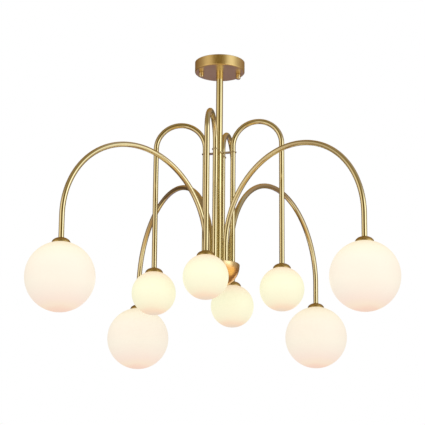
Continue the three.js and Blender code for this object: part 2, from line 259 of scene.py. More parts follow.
# Locknuts and foot screws. Two hexagon nuts of plated steel with chamfered corners pinch the rod to what carries
# it, one under the bracket's boss and one under the hub plate. Hollow screws hold the arms' feet from below.

locknut_bore, chamfer_in, chamfer_up = 8.2 * mm, 1.8 * mm, 1.3 * mm


def hexagonal(angle, radius, height):
    """A hexagon from a circle: the radius stops at each flat, which is nearer the middle than the corners."""
    flat = np.max(radius) * math.cos(math.pi / 6) / np.cos((angle % (math.pi / 3)) - math.pi / 6)
    return np.minimum(radius, flat)


for node in ("rod_locknut", "hub_locknut"):
    low, high = heights(node)
    across_corners = half_width(node)
    nut_profile = [(locknut_bore, low), (across_corners - chamfer_in, low), (across_corners, low + chamfer_up),
                   (across_corners, high - chamfer_up), (across_corners - chamfer_in, high), (locknut_bore, high)]
    finished_piece(f"{node}_hexagon", steel, "suspension", "plated_steel", [node],
                   turned_shell(nut_profile, swell=hexagonal))


def finish_solid(node, material):
    """Gives its finish to a solid that is shown as it is."""
    frame["nodes"][node].data.materials.clear()
    frame["nodes"][node].data.materials.append(material)


for node in frame["nodes"]:
    if node.startswith("foot_screw_"):
        finish_solid(node, steel)

# Terminal block. A moulded nylon strip of three screw terminals that hides under the strap.
# Its sides have the faint frosting of a spark-eroded mould.


def moulded_nylon():
    """Natural nylon 66: an off-white, slightly waxy plastic with a fine frosted skin."""
    material, tree, surface = new_material("moulded_nylon")
    place = add_node(tree, "ShaderNodeTexCoord").outputs["Object"]
    frost = add_node(tree, "ShaderNodeTexNoise", {"Vector": place, "Scale": 1 / (0.5 * mm), "Detail": 3.0})
    tone = add_node(tree, "ShaderNodeMix", {"Factor": frost.outputs[0], 6: linear("#d8d3c6"), 7: linear("#e6e2d8")},
                    data_type="RGBA")
    skin = add_node(tree, "ShaderNodeBump", {"Height": frost.outputs[0], "Distance": 0.03 * mm, "Strength": 0.5})
    nylon = add_node(tree, "ShaderNodeBsdfPrincipled", {
        "Base Color": tone.outputs[2], "Roughness": 0.55, "IOR": 1.53, "Normal": skin.outputs[0]})
    tree.links.new(nylon.outputs[0], surface)
    return material


finish_solid("terminal_block", moulded_nylon())

# Canopy. A shallow pan, spun from sheet steel and plated in satin brass, that hides the bracket.
# Its floor turns up into the side over a small bend, and the lathe leaves fine rings in the finish.

rod_radius, rod_clearance = 8 * mm, 0.3 * mm
canopy_radius, canopy_floor = half_width("canopy"), heights("canopy")[0]
canopy_wall, canopy_bend, floor_ring = 1.2 * mm, 2.5 * mm, 30 * mm
fine_line, long_line = 0.5 * mm, 40 * mm


def brushed_plate(tree, surface, lines, colour, gloss_range, lacquer):
    """Brass plate under a thin clear lacquer: its brushed lines set the gloss and lift the surface a little.
    The lines are a noise, which runs from about 0.3 to 0.7."""
    gloss = add_node(tree, "ShaderNodeMapRange", {0: lines, 1: 0.3, 2: 0.7, 3: gloss_range[0], 4: gloss_range[1]})
    ripple = add_node(tree, "ShaderNodeBump", {"Height": lines, "Distance": 0.0006 * mm, "Strength": 0.2})
    brass = add_node(tree, "ShaderNodeBsdfPrincipled", {
        "Base Color": colour, "Metallic": 1.0, "Roughness": gloss.outputs[0], "Normal": ripple.outputs[0],
        "Coat Weight": lacquer, "Coat Roughness": 0.12})
    tree.links.new(brass.outputs[0], surface)


def satin_brass(name, grain_along, tone, deep, gloss_range):
    """Brass plate, satin brushed and lacquered: a warm yellow metal with soft, long reflections.
    Brushing leaves lines a fraction of a millimetre apart, drawn here 0.5 mm apart so that they show."""
    material, tree, surface = new_material(name)
    flat = add_node(tree, "ShaderNodeUVMap", uv_map="surface").outputs[0]
    place = add_node(tree, "ShaderNodeTexCoord").outputs["Object"]
    fine, long = 1 / fine_line, 1 / long_line
    lines = add_node(tree, "ShaderNodeMapping", {
        "Vector": flat, "Scale": (long, fine, 1) if grain_along else (fine, long, 1)})
    brushed = add_node(tree, "ShaderNodeTexNoise", {"Vector": lines.outputs[0], "Scale": 1.0, "Detail": 2.0})
    patina = add_node(tree, "ShaderNodeTexNoise", {"Vector": place, "Scale": 1 / (55 * mm), "Detail": 3.0})
    mottled = add_node(tree, "ShaderNodeMapRange", {0: patina.outputs[0], 1: 0.3, 2: 0.7})
    colour = add_node(tree, "ShaderNodeMix", {"Factor": mottled.outputs[0], 6: linear(deep), 7: linear(tone)},
                      data_type="RGBA")
    brushed_plate(tree, surface, brushed.outputs[0], colour.outputs[2], gloss_range, lacquer=0.12)
    return material


def arc(middle_radius, middle_height, radius, start, end, steps):
    """Points on a circle in the (radius, height) plane, angles in radians above the horizontal."""
    angle = np.linspace(start, end, steps)
    return np.column_stack([middle_radius + radius * np.cos(angle), middle_height + radius * np.sin(angle)])


spun_brass = satin_brass("satin_brass_spun", grain_along=False, tone="#f5dc9b", deep="#ecd18e",
                         gloss_range=(0.32, 0.38))
bend_middle = (canopy_radius - canopy_bend, canopy_floor + canopy_bend)
rod_hole = rod_radius + rod_clearance
hold, rim_edge = 0.4 * mm, 0.2 * mm  # a point this far from a bend holds the flat beside it; the rim's easing
canopy_profile = np.vstack([
    [[rod_hole, canopy_floor], [rod_hole + hold, canopy_floor],
     [floor_ring, canopy_floor], [bend_middle[0] - hold, canopy_floor]],
    arc(*bend_middle, canopy_bend, -math.pi / 2, 0, 12),
    [[canopy_radius, bend_middle[1] + hold], [canopy_radius, -2 * hold], [canopy_radius, -hold],
     [canopy_radius - rim_edge, -rim_edge / 2], [canopy_radius - canopy_wall / 2, 0],
     [canopy_radius - canopy_wall, -rim_edge], [canopy_radius - canopy_wall, -rim_edge - hold]],
    arc(*bend_middle, canopy_bend - canopy_wall, 0, -math.pi / 2, 8),
    [[rod_hole, canopy_floor + canopy_wall]]])
finished_piece("canopy_pan", spun_brass, "suspension", "satin_brass", ["canopy"],
               turned_shell(canopy_profile, sides=160))

# Canopy nuts. Round cap nuts, turned from brass bar and polished, that press the canopy to the ceiling.
# Each has a blind thread for its stud, a rounded end, and a fine groove turned near its top.

nut_bend, nut_crown, nut_edge = 3.2 * mm, 0.1 * mm, 0.4 * mm
nut_groove, groove_top, groove_bottom, groove_slope = 0.35 * mm, 2.5 * mm, 2.9 * mm, 0.3 * mm
head_brass = satin_brass("satin_brass_polished", grain_along=False, tone="#ecdcb6", deep="#e2cfa4",
                         gloss_range=(0.1, 0.14))

for side, place in nut_places.items():
    nut_radius = half_width(f"canopy_nut_{side}")
    nut_low, nut_high = heights(f"canopy_nut_{side}")
    groove_radius, bend_height = nut_radius - nut_groove, nut_low + nut_bend + nut_crown
    nut_profile = np.vstack([
        [[0, nut_low], [nut_radius - nut_bend, nut_low + nut_crown]],
        arc(nut_radius - nut_bend, bend_height, nut_bend, -math.pi / 2 + 0.1, 0, 12),
        [[nut_radius, bend_height + 0.7 * mm], [nut_radius, nut_high - groove_bottom - 2 * groove_slope],
         [nut_radius, nut_high - groove_bottom - groove_slope], [groove_radius, nut_high - groove_bottom],
         [groove_radius, nut_high - groove_top], [nut_radius, nut_high - groove_top + groove_slope],
         [nut_radius, nut_high - nut_edge], [nut_radius - nut_edge, nut_high], [0, nut_high]]])
    finished_piece(f"canopy_nut_{side}_turned", head_brass, "suspension", "satin_brass", [f"canopy_nut_{side}"],
                   turned_shell(nut_profile, place, closed=False))

# Downrod. A drawn brass-plated steel tube from the bracket down through the hub plate.
# It carries the whole weight and the wires, and its brushing runs along its length.

rod_bore, rod_edge = 6.5 * mm, 0.3 * mm
rod_low, rod_high = heights("downrod")
rod_brass = satin_brass("satin_brass_rod", grain_along=True, tone="#f7edb8", deep="#ede2ac",
                        gloss_range=(0.10, 0.13))
rod_profile = eased([(rod_bore, rod_low), (rod_radius, rod_low), (rod_radius, rod_high), (rod_bore, rod_high)],
                    rod_edge)
finished_piece("downrod_tube", rod_brass, "suspension", "satin_brass", ["downrod"],
               turned_shell(rod_profile, sides=64))

# Spacer plate. A thin brass-plated cross, cut from 2 mm sheet, that keeps the narrow arms' inner legs apart.
# A round lobe holds each leg, and a larger one slides on the rod.

tube_radius, plate_clearance, spacer_edge = 6 * mm, 0.2 * mm, 0.2 * mm
lobe_radius, centre_radius, bar_half = 8 * mm, 13 * mm, 6 * mm
spacer_low, spacer_high = heights("spacer_plate")
swings = {joint["name"][:-len("_swing")]: np.array(joint["pos_m"]) for joint in frame["joints"]
          if joint["name"].endswith("_swing")}
narrow_feet = [place[:2] for name, place in swings.items() if name.startswith("narrow")]
foot = swings["narrow_right"][:2]
foot_radius, cross_angle = np.linalg.norm(foot), math.atan2(foot[1], foot[0])

lobe_reach, shoulder = math.pi - math.asin(bar_half / lobe_radius), math.asin(bar_half / centre_radius)
cross = []
for quarter in range(4):
    angle = cross_angle + quarter * math.pi / 2
    lobe_turn = np.linspace(angle - lobe_reach, angle + lobe_reach, 25)
    middle_turn = np.linspace(angle + shoulder, angle + math.pi / 2 - shoulder, 7)
    cross.append(foot_radius * np.array([math.cos(angle), math.sin(angle)])
                 + lobe_radius * np.column_stack([np.cos(lobe_turn), np.sin(lobe_turn)]))
    cross.append(centre_radius * np.column_stack([np.cos(middle_turn), np.sin(middle_turn)]))


def sheet_brass(name, tone, deep):
    """Satin brass on cut sheet: the same plate, with the brushing in one straight direction across the part."""
    material, tree, surface = new_material(name)
    place = add_node(tree, "ShaderNodeTexCoord").outputs["Object"]
    lines = add_node(tree, "ShaderNodeMapping", {
        "Vector": place, "Scale": (1 / fine_line, 1 / (30 * mm), 1 / (4 * mm))})
    brushed = add_node(tree, "ShaderNodeTexNoise", {"Vector": lines.outputs[0], "Scale": 1.0, "Detail": 2.0})
    colour = add_node(tree, "ShaderNodeMix", {"Factor": brushed.outputs[0], 6: linear(deep), 7: linear(tone)},
                      data_type="RGBA")
    brushed_plate(tree, surface, brushed.outputs[0], colour.outputs[2], (0.24, 0.34), lacquer=0.25)
    return material


rod_cut = round_outline((0, 0), rod_radius + plate_clearance, 48)
flat_plate("spacer_cross", sheet_brass("satin_brass_pale", "#d6cba8", "#c9bd99"), "suspension",
           ["spacer_plate"],
           [np.vstack(cross), rod_cut]
           + [round_outline(place, tube_radius + plate_clearance, 40) for place in narrow_feet],
           spacer_low, spacer_high, spacer_edge)

# Hub. A turned plate that the eight arms stand on, over a half-ball cup spun from sheet and drawn up by a finial.
# The cup is open at the top, and the plate closes it just inside the rim.

cup_radius, cup_top = half_width("hub_cup"), heights("hub_cup")[1]
cup_wall, cup_straight, cup_hole, cup_gap = 1.2 * mm, 2 * mm, 6.6 * mm, 0.4 * mm
foot_hole, hub_edge = 4.4 * mm, 0.3 * mm
hub_low, hub_high = heights("hub_plate")
flat_plate("hub_plate_disc", sheet_brass("satin_brass_sheet", "#e0c488", "#d6b878"), "suspension",
           ["hub_plate"],
           [round_outline((0, 0), cup_radius - cup_wall - cup_gap, 96), rod_cut]
           + [round_outline(place[:2], foot_hole, 24) for place in swings.values()],
           hub_low, hub_high, hub_edge)

cup_middle, cup_inside = cup_top - cup_straight, cup_radius - cup_wall
cup_profile = np.vstack([
    arc(0, cup_middle, cup_radius, -math.acos(cup_hole / cup_radius), 0, 40),
    [[cup_radius, cup_top - rim_edge / 2 - hold], [cup_radius - rim_edge, cup_top - rim_edge / 2],
     [cup_radius - cup_wall / 2, cup_top], [cup_inside, cup_top - rim_edge]],
    arc(0, cup_middle, cup_inside, 0, -math.acos(cup_hole / cup_inside), 36)])


def brass_with_painted_reflection(reflection_from, reflection_full):
    """Satin brass that turns from pale to orange towards the bottom of the ball: the pale brass is its own colour, and
    the orange is a painted reflection of the lit globes around it.
    The lathe's rings are drawn 0.5 mm apart so that they show."""
    material, tree, surface = new_material("satin_brass_painted_reflection")
    flat = add_node(tree, "ShaderNodeUVMap", uv_map="surface").outputs[0]
    place = add_node(tree, "ShaderNodeTexCoord").outputs["Object"]
    height = add_node(tree, "ShaderNodeSeparateXYZ", {0: place})
    rings = add_node(tree, "ShaderNodeMapping", {"Vector": flat, "Scale": (1 / fine_line, 1 / long_line, 1)})
    brushed = add_node(tree, "ShaderNodeTexNoise", {"Vector": rings.outputs[0], "Scale": 1.0, "Detail": 2.0})
    run = add_node(tree, "ShaderNodeMapRange", {0: height.outputs["Z"], 1: reflection_from, 2: reflection_full},
                   interpolation_type="SMOOTHSTEP")
    # Painted reflection: pale brass near the rim, turning orange lower down as if it mirrored the lit globes.
    colour = add_node(tree, "ShaderNodeMix", {"Factor": run.outputs[0], 6: linear("#ffe6b2"), 7: linear("#ffc474")},
                      data_type="RGBA")
    brushed_plate(tree, surface, brushed.outputs[0], colour.outputs[2], (0.25, 0.31), lacquer=0.12)
    return material


finished_piece("hub_cup_spun", brass_with_painted_reflection(cup_top - 3 * mm, cup_top - 20 * mm), "suspension", "satin_brass",
               ["hub_cup"], turned_shell(cup_profile, sides=128))

finial_low, finial_high = heights("hub_finial")
seat, end_radius, bead, bead_middle = finial_low + 7 * mm, 9 * mm, 1.4 * mm, 7.6 * mm
waist_radius, collar_radius, shank = 7.2 * mm, 8.2 * mm, 5.9 * mm
# Up from its tip: a rounded end, a bead, a narrow waist, the seat under the cup, and the shank that screws in.
finial_profile = np.vstack([
    arc(0, finial_low + end_radius, end_radius, -math.pi / 2, -0.9, 10),
    arc(bead_middle, finial_low + 3.6 * mm, bead, -0.7, 0.6, 7),
    [[collar_radius, seat - 1.6 * mm], [waist_radius, seat - 1.1 * mm], [waist_radius, seat - 0.5 * mm],
     [waist_radius - 0.3 * mm, seat], [shank, seat], [shank, finial_high], [0, finial_high]]])
finished_piece("hub_finial_turned", head_brass, "suspension", "satin_brass", ["hub_finial"],
               turned_shell(finial_profile, sides=64, closed=False))

# Arms. Eight drawn tubes, satin brass plated, bent to half a circle and screwed down on the hub plate.
# Each runs up from its foot, over, and down to its globe, and the wires run inside it.

tube_bore, cap_gap = 5.2 * mm, 0.2 * mm
bend_stations, leg_stations, end_stations, tube_sides = 200, 12, 9, 32
globe_places = {name: middle(f"globe_{name}") for name in swings}
drawn_brass = satin_brass("satin_brass_drawn", grain_along=True, tone="#f1e7bb", deep="#e7dcae",
                         gloss_range=(0.07, 0.10))


def arm_line(name):
    """An arm's centre line in its own upright plane, by distance d along it: straight up to the spring height,
    half a circle of radius R (angle d/R), then straight down. Returns distance, reach, height and the angle."""
    low, high = heights(f"arm_{name}")
    bend = np.linalg.norm(globe_places[name] - swings[name][:2]) / 2
    spring = high - tube_radius - bend
    end = heights(f"cap_{name}")[1] + cap_gap
    up, over, down = spring - low, math.pi * bend, spring - end
    distance = np.concatenate([np.linspace(0, up, leg_stations, endpoint=False),
                               up + np.linspace(0, over, bend_stations),
                               up + over + np.linspace(0, down, end_stations)[1:]])
    turn = np.clip((distance - up) / bend, 0, math.pi)
    below_spring = np.maximum(0, up - distance) + np.maximum(0, distance - up - over)
    return distance, bend * (1 - np.cos(turn)), spring + bend * np.sin(turn) - below_spring, turn


def tube_skin(name, radius, reverse=False):
    """A round skin at one radius r round an arm's line: centre + r (cos a * out + sin a * side)."""
    distance, reach, height, turn = arm_line(name)
    heading = globe_places[name] - swings[name][:2]
    heading = heading / np.linalg.norm(heading)
    out, side, up = np.append(heading, 0), np.array([-heading[1], heading[0], 0]), np.array([0, 0, 1])
    centre = np.append(swings[name][:2], 0) + reach[:, None] * out + height[:, None] * up
    normal = np.cos(turn)[:, None] * out - np.sin(turn)[:, None] * up
    angle = np.arange(tube_sides) * 2 * math.pi / tube_sides
    points = centre[:, None] + radius * (np.cos(angle)[None, :, None] * normal[:, None]
                                         + np.sin(angle)[None, :, None] * side)
    return (points[::-1], distance[::-1]) if reverse else (points, distance)


for name in swings:
    outside, distance = tube_skin(name, tube_radius)
    inside, back = tube_skin(name, tube_bore, reverse=True)
    around = np.arange(tube_sides) * 2 * math.pi / tube_sides * tube_radius
    wall = shell(np.concatenate([outside, inside]), around, np.concatenate([distance, back]), closed_profile=True)
    finished_piece(f"arm_{name}_tube", drawn_brass, name, "satin_brass", [f"arm_{name}"], wall)

# Globe caps. A shallow dome spun from sheet brass, screwed between the arm's end and the lampholder.
# Its rim just clears the glass, and a short skirt inside takes the globe's neck.

cap_radius, cap_wall, cap_height, cap_hole = 20.3 * mm, 1.2 * mm, 12.4 * mm, 4.6 * mm
skirt_inner, skirt_outer, skirt_edge, glass_clearance = 12.2 * mm, 13.5 * mm, 0.2 * mm, 0.3 * mm
globe_radii = {"wide": 75 * mm, "narrow": 50 * mm}


def dome(rim, radius, height, start, end, steps):
    """Half an ellipsoid on its rim, from one radius to another: (r cos t, rim + h sin t)."""
    turn = np.linspace(math.acos(start / radius), math.acos(end / radius), steps)
    return np.column_stack([radius * np.cos(turn), rim + height * np.sin(turn)])


cap_brass = satin_brass("satin_brass_cap", grain_along=False, tone="#d8bf7c", deep="#ceb46e",
                        gloss_range=(0.36, 0.42))
for name, place in globe_places.items():
    globe_radius = globe_radii[name.split("_")[0]]
    globe_middle = heights(f"globe_{name}")[0] + globe_radius
    inner_radius, inner_height = cap_radius - cap_wall, cap_height - cap_wall
    rim, skirt_low = (globe_middle + math.sqrt(globe_radius ** 2 - radius ** 2) + glass_clearance
                      for radius in (inner_radius, skirt_inner))
    cap_profile = np.vstack([
        dome(rim, cap_radius, cap_height, cap_radius, cap_hole, 32),
        dome(rim, inner_radius, inner_height, cap_hole, skirt_inner, 10),
        [[skirt_inner, skirt_low + skirt_edge], [skirt_inner + skirt_edge, skirt_low],
         [skirt_outer - skirt_edge, skirt_low], [skirt_outer, skirt_low + skirt_edge]],
        dome(rim, inner_radius, inner_height, skirt_outer, inner_radius, 12)])
    finished_piece(f"cap_{name}_dome", cap_brass, name, "satin_brass", [f"cap_{name}"],
                   turned_shell(cap_profile, place))

# Lampholders and lamps. A glazed ceramic holder hangs from each cap, and a capsule lamp plugs into it.
# The lamp's frosted envelope glows warm white.

holder_radius, holder_mouth, holder_edge, mouth_depth = 8.3 * mm, 5.8 * mm, 0.8 * mm, 1.5 * mm
shoulder_rise, shoulder_chamfer, shank_radius, shank_edge = 24 * mm, 1.2 * mm, 4.2 * mm, 0.4 * mm
holder_groove, groove_low, groove_high, holder_slope = 0.5 * mm, 9.6 * mm, 11 * mm, 0.6 * mm
lamp_radius, lamp_shoulder, lamp_foot, lamp_sides = 7 * mm, 2.2 * mm, 4.9 * mm, 48


def glazed_ceramic():
    """Steatite with a thin clear glaze: off-white, faintly speckled, with a soft shine."""
    material, tree, surface = new_material("glazed_steatite")
    place = add_node(tree, "ShaderNodeTexCoord").outputs["Object"]
    speckle = add_node(tree, "ShaderNodeTexNoise", {"Vector": place, "Scale": 1 / (1.2 * mm), "Detail": 2.0})
    tone = add_node(tree, "ShaderNodeMix", {"Factor": speckle.outputs[0], 6: linear("#dfd9cc"), 7: linear("#efebe2")},
                    data_type="RGBA")
    skin = add_node(tree, "ShaderNodeBump", {"Height": speckle.outputs[0], "Distance": 0.02 * mm, "Strength": 0.4})
    glaze = add_node(tree, "ShaderNodeBsdfPrincipled", {
        "Base Color": tone.outputs[2], "Roughness": 0.4, "Normal": skin.outputs[0],
        "Coat Weight": 0.5, "Coat Roughness": 0.15})
    tree.links.new(glaze.outputs[0], surface)
    return material


def frosted_lamp():
    """Etched lamp glass over a warm filament: it glows an even warm white, with a fine sparkle."""
    material, tree, surface = new_material("frosted_lamp_glass")
    place = add_node(tree, "ShaderNodeTexCoord").outputs["Object"]
    etch = add_node(tree, "ShaderNodeTexNoise", {"Vector": place, "Scale": 1 / (0.8 * mm), "Detail": 2.0})
    tone = add_node(tree, "ShaderNodeMix", {"Factor": etch.outputs[0], 6: linear("#ffe2ae"), 7: linear("#fff1cf")},
                    data_type="RGBA")
    skin = add_node(tree, "ShaderNodeBump", {"Height": etch.outputs[0], "Distance": 0.02 * mm, "Strength": 0.5})
    glass = add_node(tree, "ShaderNodeBsdfPrincipled", {
        "Base Color": linear("#8c8474"), "Roughness": 0.35, "IOR": 1.5, "Normal": skin.outputs[0],
        "Emission Color": tone.outputs[2], "Emission Strength": 0.75})
    tree.links.new(glass.outputs[0], surface)
    return material


ceramic, lamp_glass = glazed_ceramic(), frosted_lamp()
for name, place in globe_places.items():
    low, high = heights(f"lampholder_{name}")
    shoulder_height = low + shoulder_rise
    holder_profile = np.vstack([
        [[0, low + mouth_depth], [holder_mouth - 0.6 * mm, low + mouth_depth], [holder_mouth, low],
         [holder_radius - holder_edge, low], [holder_radius, low + holder_edge],
         [holder_radius, low + groove_low - holder_slope], [holder_radius - holder_groove, low + groove_low],
         [holder_radius - holder_groove, low + groove_high], [holder_radius, low + groove_high + holder_slope],
         [holder_radius, shoulder_height - shoulder_chamfer], [holder_radius - shoulder_chamfer, shoulder_height],
         [shank_radius, shoulder_height], [shank_radius, high - shank_edge],
         [shank_radius - shank_edge, high], [0, high]]])
    finished_piece(f"lampholder_{name}_glazed", ceramic, name, "ceramic", [f"lampholder_{name}"],
                   turned_shell(holder_profile, place, lamp_sides, closed=False))
    low, high = heights(f"bulb_{name}")
    lamp_profile = np.vstack([
        arc(0, low + lamp_radius, lamp_radius, -math.pi / 2, 0, 14),
        arc(lamp_radius - lamp_shoulder, high - 3.4 * mm, lamp_shoulder, 0, 1.2, 6),
        [[lamp_foot, high - 1 * mm], [lamp_foot, high], [0, high]]])
    finished_piece(f"bulb_{name}_capsule", lamp_glass, name, "lamp_glass", [f"bulb_{name}"],
                   turned_shell(lamp_profile, place, lamp_sides, closed=False))

# Globes. Balls of opal glass, blown and satin etched, with a short neck that pushes up into the cap.
# Lit from inside they glow a warm cream, with painted shade: peach and darker towards the bottom, and darker just under
# the cap.

glass_walls = {"wide": 2.5 * mm, "narrow": 2 * mm}
neck_radius, neck_bore, glass_lip = 11.5 * mm, 9.5 * mm, 0.5 * mm
neck_flare, neck_rise = 0.8 * mm, 0.7 * mm
# The glow's stops by height hold painted shade: darker and peach at the bottom, darker again just under the cap at the
# top.
glow_and_painted_shade = {
    "wide": [(0.0, "#f7d4c3"), (0.012, "#fdd5c1"), (0.05, "#ffe7d0"), (0.12, "#ffe7da"), (0.22, "#feefe1"),
             (0.36, "#fdf4e4"), (0.52, "#fdf1e1"), (0.68, "#fdf3e1"), (0.84, "#fcf2d8"), (0.96, "#efdfbc")],
    "narrow": [(0.0, "#ebd6c0"), (0.012, "#f3d7bd"), (0.05, "#ffdcbc"), (0.12, "#fff1ce"), (0.22, "#fefad6"),
               (0.36, "#fefdd8"), (0.52, "#fdffd8"), (0.68, "#fdfbd2"), (0.84, "#fcebc6"), (0.96, "#ebcfa6")]}


def set_stops(ramp, colours):
    """Sets a colour ramp's stops, each a (position, linear colour), from the lowest position up."""
    stops = ramp.color_ramp.elements
    while len(stops) < len(colours):
        stops.new(0.5)
    for stop, (position, colour) in zip(stops, colours):
        stop.position, stop.color = position, colour


def opal_glass(name, low, high, glow):
    """Opal glass, satin etched and lit from within. The glow follows height on the ball, low to high, with painted
    shade: peach and darker at the bottom, and darker just under the cap.
    The blown skin has faint clouds some 20 mm across, and a ripple too fine to feel."""
    material, tree, surface = new_material(name)
    place = add_node(tree, "ShaderNodeTexCoord").outputs["Object"]
    cloud = add_node(tree, "ShaderNodeTexNoise", {"Vector": place, "Scale": 1 / (22 * mm), "Detail": 2.0})
    height = add_node(tree, "ShaderNodeSeparateXYZ", {0: place})
    share = add_node(tree, "ShaderNodeMapRange", {0: height.outputs["Z"], 1: low, 2: high})
    drift = add_node(tree, "ShaderNodeMapRange", {0: cloud.outputs[0], 3: -0.02, 4: 0.02})
    drifted = add_node(tree, "ShaderNodeMath", {0: share.outputs[0], 1: drift.outputs[0]}, operation="ADD")
    # The ramp paints the glow by height, with painted shade at the bottom and just under the cap.
    ramp = add_node(tree, "ShaderNodeValToRGB", {0: drifted.outputs[0]})
    set_stops(ramp, [(position, linear(colour)) for position, colour in glow])
    skin = add_node(tree, "ShaderNodeBump", {"Height": cloud.outputs[0], "Distance": 0.05 * mm, "Strength": 0.3})
    glass = add_node(tree, "ShaderNodeBsdfPrincipled", {
        "Base Color": linear("#a8a193"), "Roughness": 0.5, "IOR": 1.5, "Normal": skin.outputs[0],
        "Emission Color": ramp.outputs[0], "Emission Strength": 0.67})
    tree.links.new(glass.outputs[0], surface)
    return material


opals = {}
for name, place in globe_places.items():
    kind = name.split("_")[0]
    radius, inside = globe_radii[kind], globe_radii[kind] - glass_walls[kind]
    low, high = heights(f"globe_{name}")
    centre = low + radius
    if kind not in opals:
        opals[kind] = opal_glass(f"opal_glass_{kind}", low, centre + radius, glow_and_painted_shade[kind])
    neck_low = centre + math.sqrt(radius ** 2 - neck_radius ** 2) + neck_rise
    globe_profile = np.vstack([
        arc(0, centre, radius, -math.pi / 2, math.acos((neck_radius + neck_flare) / radius), 90),
        [[neck_radius, neck_low], [neck_radius, high - glass_lip], [neck_radius - glass_lip, high],
         [neck_bore + glass_lip, high], [neck_bore, high - glass_lip]],
        arc(0, centre, inside, math.acos(neck_bore / inside), -math.pi / 2, 60)])
    finished_piece(f"globe_{name}_opal", opals[kind], f"{name}_glass", "opal_glass", [f"globe_{name}"],
                   turned_shell(globe_profile, place, closed=False))

# Studio. A pale floor far below, a plain white room, two soft lamps, and a round tent that shows only in reflections.
# The tent is what the metal mirrors: its cloth is graded round the room, so that the tubes read dark, gold and bright.

room_centre = np.array([0.0, 0.0, -0.45])
tent_radius, tent_columns, tent_rows = 2.6, 97, 49
floor_reach, floor_height = 150.0, -8.0


def seen_directly(tree):
    """1 for what the camera sees, straight or in a mirror or through glass, and 0 for the light on the object."""
    path = add_node(tree, "ShaderNodeLightPath")
    seen = add_node(tree, "ShaderNodeMath", {0: path.outputs["Is Camera Ray"], 1: path.outputs["Is Glossy Ray"]},
                    operation="MAXIMUM")
    return add_node(tree, "ShaderNodeMath", {0: seen.outputs[0], 1: path.outputs["Is Transmission Ray"]},
                    operation="MAXIMUM").outputs[0]


def studio_floor():
    """Pale matt paint. It shows near white to the camera and in mirrors, and keeps the object's shadow."""
    material, tree, surface = new_material("studio_floor_paint")
    place = add_node(tree, "ShaderNodeTexCoord").outputs["Object"]
    mottle = add_node(tree, "ShaderNodeTexNoise", {"Vector": place, "Scale": 3.0, "Detail": 2.0})
    tone = add_node(tree, "ShaderNodeMix", {"Factor": mottle.outputs[0], 6: linear("#ececea"), 7: linear("#f2f1ef")},
                    data_type="RGBA")
    paint = add_node(tree, "ShaderNodeBsdfDiffuse", {"Color": tone.outputs[2]})
    white = add_node(tree, "ShaderNodeEmission", {"Color": linear("#ffffff"), "Strength": 1.0})
    lift = add_node(tree, "ShaderNodeMath", {0: seen_directly(tree), 1: 0.6}, operation="MULTIPLY")
    mixed = add_node(tree, "ShaderNodeMixShader", {0: lift.outputs[0], 1: paint.outputs[0], 2: white.outputs[0]})
    tree.links.new(mixed.outputs[0], surface)
    return material


def stage_surface(name, points, faces, material):
    """A surface of the studio, which isn't part of the object."""
    mesh = bpy.data.meshes.new(name)
    mesh.from_pydata(points, [], faces)
    mesh.materials.append(material)
    made = bpy.data.objects.new(name, mesh)
    bpy.context.scene.collection.objects.link(made)
    return made


floor_corners = [(x * floor_reach, y * floor_reach, floor_height) for x, y in ((-1, -1), (1, -1), (1, 1), (-1, 1))]
stage_surface("studio_floor", floor_corners, [(0, 1, 2, 3)], studio_floor())

# The tent's tiers from the floor up: (start, full) heights of each one's melt into the next, as a sine of the
# tilt, and its linear colours by the turn in degrees from the front towards the right.
tent_tiers = [
    ((0, 0), [
        (-180, (0.55, 0.33, 0.10)), (-125, (0.10, 0.07, 0.05)), (-85, (0.33, 0.215, 0.15)), (-30, (0.42, 0.26, 0.14)),
        (-10, (0.62, 0.43, 0.20)), (8, (0.78, 0.47, 0.13)), (30, (0.78, 0.47, 0.13)), (78, (0.42, 0.36, 0.30)),
        (114, (0.26, 0.17, 0.12))]),
    ((-0.8, -0.5), [
        (-180, (0.262, 0.207, 0.375)), (-173, (0.262, 0.207, 0.375)), (-163, (0.33, 0.22, 0.10)),
        (-150, (0.30, 0.20, 0.09)), (-138, (0.12, 0.075, 0.05)), (-115, (0.12, 0.075, 0.05)),
        (-100, (0.40, 0.30, 0.24)), (-80, (0.55, 0.40, 0.30)), (-60, (0.70, 0.58, 0.48)), (-45, (0.90, 0.78, 0.68)),
        (-25, (0.90, 0.78, 0.68)), (-12, (0.36, 0.28, 0.185)), (0, (0.38, 0.27, 0.15)), (20, (0.50, 0.42, 0.34)),
        (45, (0.80, 0.72, 0.66)), (78, (0.95, 0.88, 0.85)), (98, (0.90, 0.82, 0.76)), (110, (0.28, 0.175, 0.135)),
        (138, (0.18, 0.12, 0.10)), (150, (0.30, 0.20, 0.09)), (163, (0.33, 0.22, 0.10)),
        (173, (0.262, 0.207, 0.375))]),
    ((-0.25, 0.1), [
        (-180, (0.10, 0.08, 0.06)), (-128, (0.10, 0.06, 0.037)), (-114, (0.33, 0.25, 0.20)),
        (-97, (0.38, 0.30, 0.23)), (-80, (0.54, 0.435, 0.34)), (-68, (0.95, 0.84, 0.70)), (-48, (1.15, 1.00, 0.83)),
        (-38, (0.80, 0.70, 0.56)), (-28, (0.34, 0.26, 0.14)), (-20, (0.14, 0.09, 0.015)), (14, (0.14, 0.09, 0.015)),
        (22, (0.22, 0.15, 0.05)), (30, (0.70, 0.63, 0.50)), (37, (1.4, 1.4, 1.4)), (45, (1.6, 1.6, 1.6)),
        (59, (1.6, 1.6, 1.6)), (68, (1.30, 1.25, 1.12)), (78, (0.72, 0.66, 0.56)), (92, (0.44, 0.39, 0.31)),
        (112, (0.36, 0.265, 0.21)), (128, (0.22, 0.165, 0.12))]),
    ((0.36, 0.66), [
        (-180, (0.38, 0.235, 0.07)), (-125, (0.32, 0.195, 0.10)), (-85, (0.23, 0.175, 0.11)),
        (-30, (0.36, 0.27, 0.16)), (-10, (0.23, 0.17, 0.075)), (30, (0.34, 0.25, 0.12)), (78, (0.36, 0.34, 0.33)),
        (114, (0.39, 0.27, 0.215))])]


